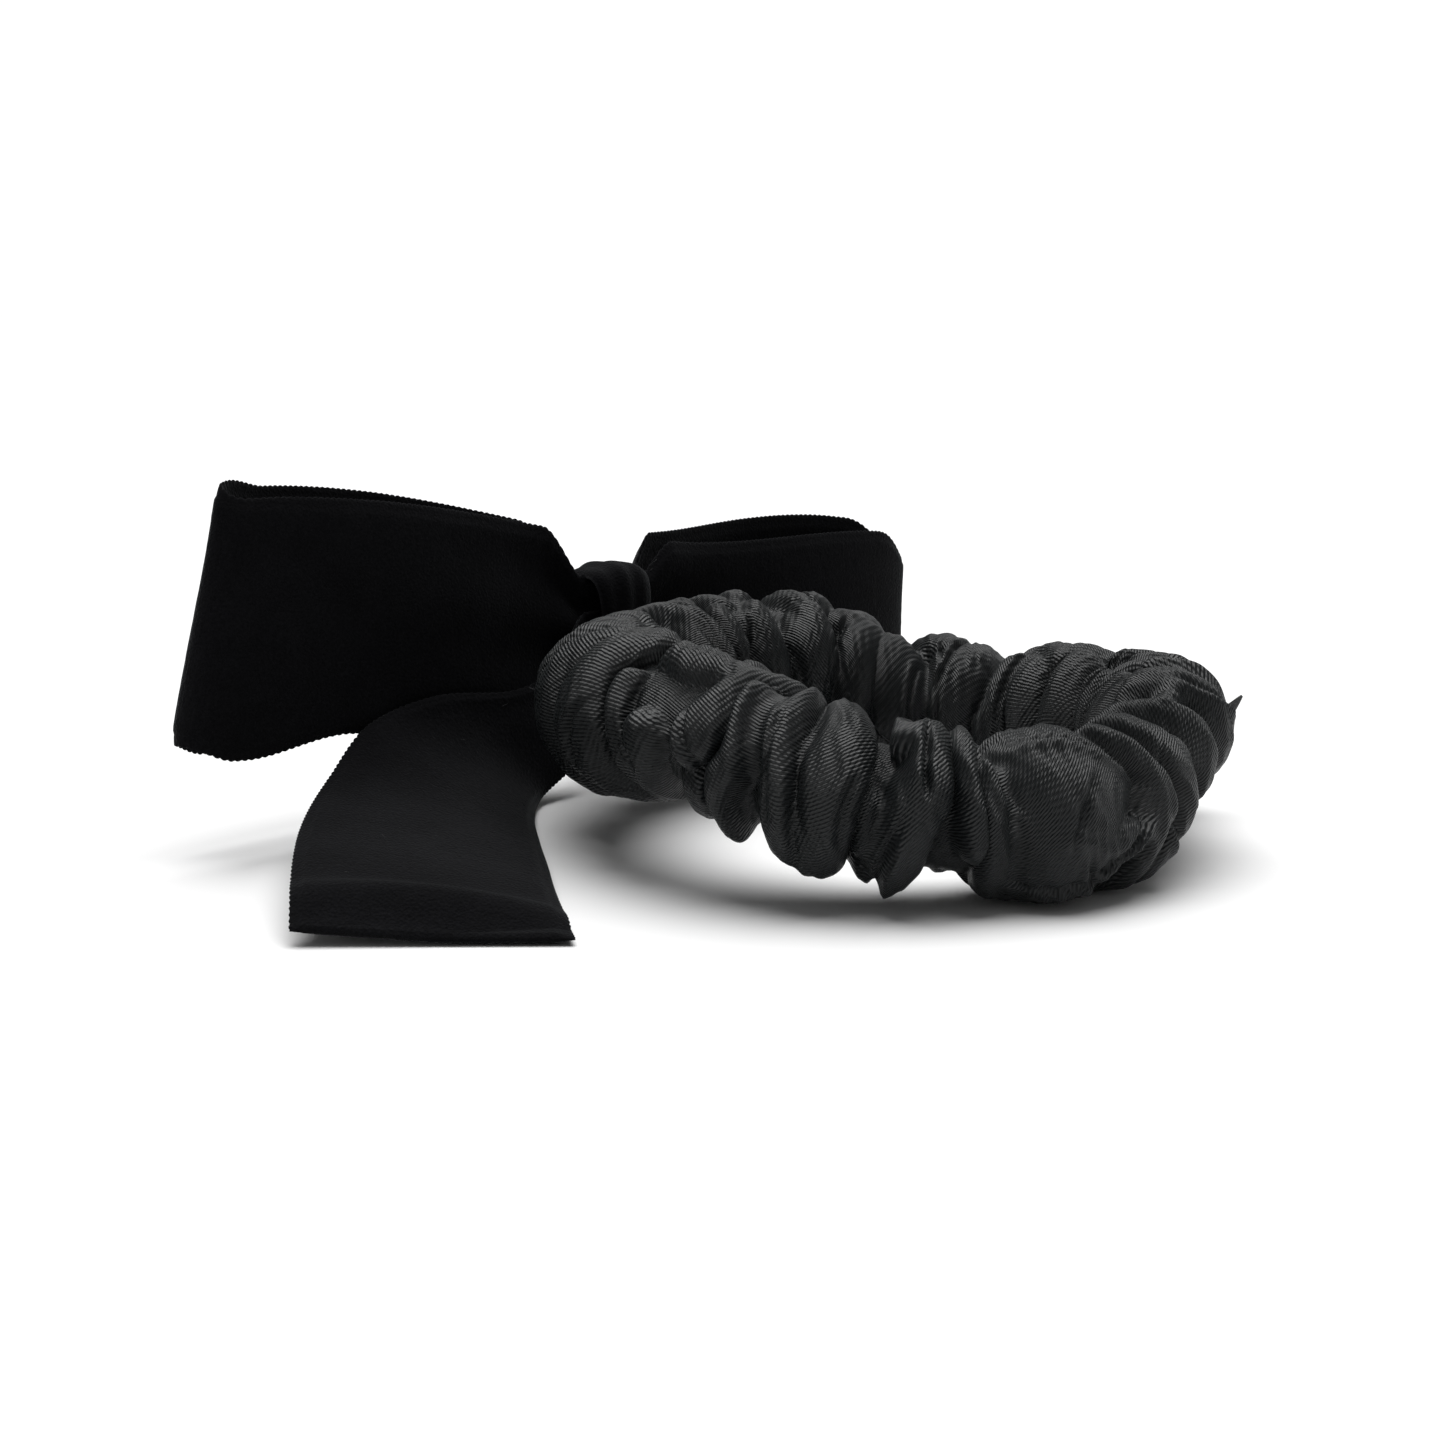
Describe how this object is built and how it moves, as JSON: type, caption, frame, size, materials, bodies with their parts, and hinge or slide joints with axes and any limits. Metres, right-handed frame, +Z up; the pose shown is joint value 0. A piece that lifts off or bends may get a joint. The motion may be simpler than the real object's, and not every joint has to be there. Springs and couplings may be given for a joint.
{
  "type": "hair scrunchie with bow",
  "caption": "Gathered fabric hair ring over flat elastic, with a looped velvet ribbon bow and trailing tails stitched to one side.",
  "frame": {"origin": "middle of the underside of the whole piece at rest; the middle of the ring is 6.5 mm behind it on +Y", "axes": "+X along the bow towards the loop that is raised, +Y from the bow to the far side of the ring, +Z up from the surface the ring lies on"},
  "size_m": [0.1396, 0.0864, 0.0367],
  "materials": {
    "satin_twill": "fine ribbed polyester satin twill, charcoal, low sheen",
    "velvet_ribbon": "woven velvet ribbon, black pile with plain woven edges",
    "elastic_web": "braided flat elastic, black",
    "sewing_thread": "spun polyester thread, black"
  },
  "bodies": {
    "band_bow_side": {"cover_bow_half": "satin_twill", "elastic_bow_half": "elastic_web", "long_seam_thread_bow_half": "sewing_thread", "elastic_join_stitch": "sewing_thread", "knot_wrap": "velvet_ribbon", "knot_wrap_stitch": "sewing_thread", "pinch_thread": "sewing_thread", "tack_stitch_right": "sewing_thread", "tack_stitch_left": "sewing_thread", "bow_center": "velvet_ribbon", "tails_center": "velvet_ribbon"},
    "band_far_side": {"cover_far_half": "satin_twill", "elastic_far_half": "elastic_web", "long_seam_thread_far_half": "sewing_thread", "closing_seam_thread": "sewing_thread"},
    "right_loop": {"right_loop": "velvet_ribbon"},
    "left_loop": {"left_loop": "velvet_ribbon"},
    "right_tail": {"right_tail": "velvet_ribbon"},
    "left_tail": {"left_tail": "velvet_ribbon"}
  },
  "joints": [
    {"name": "ring_stretch", "type": "slide", "parent": "band_bow_side", "child": "band_far_side", "axis": [0, 1, 0], "range_m": [0, 0.06], "stiffness_N_per_m": 90},
    {"name": "right_loop_bend", "type": "hinge", "parent": "band_bow_side", "child": "right_loop", "pos_m": [0.005, -0.03629, 0.0168], "axis": [0, 0, 1], "range_deg": [-25, 0], "stiffness_Nm_per_rad": 0.02},
    {"name": "left_loop_bend", "type": "hinge", "parent": "band_bow_side", "child": "left_loop", "pos_m": [-0.005, -0.03629, 0.0168], "axis": [0, 0, 1], "range_deg": [0, 25], "stiffness_Nm_per_rad": 0.02},
    {"name": "right_tail_lift", "type": "hinge", "parent": "band_bow_side", "child": "right_tail", "pos_m": [0.005, -0.03429, 0.0206], "axis": [0, 1, 0], "range_deg": [-20, 0], "stiffness_Nm_per_rad": 0.05},
    {"name": "left_tail_lift", "type": "hinge", "parent": "band_bow_side", "child": "left_tail", "pos_m": [-0.005, -0.03429, 0.0206], "axis": [0, 1, 0], "range_deg": [0, 20], "stiffness_Nm_per_rad": 0.05}
  ]
}
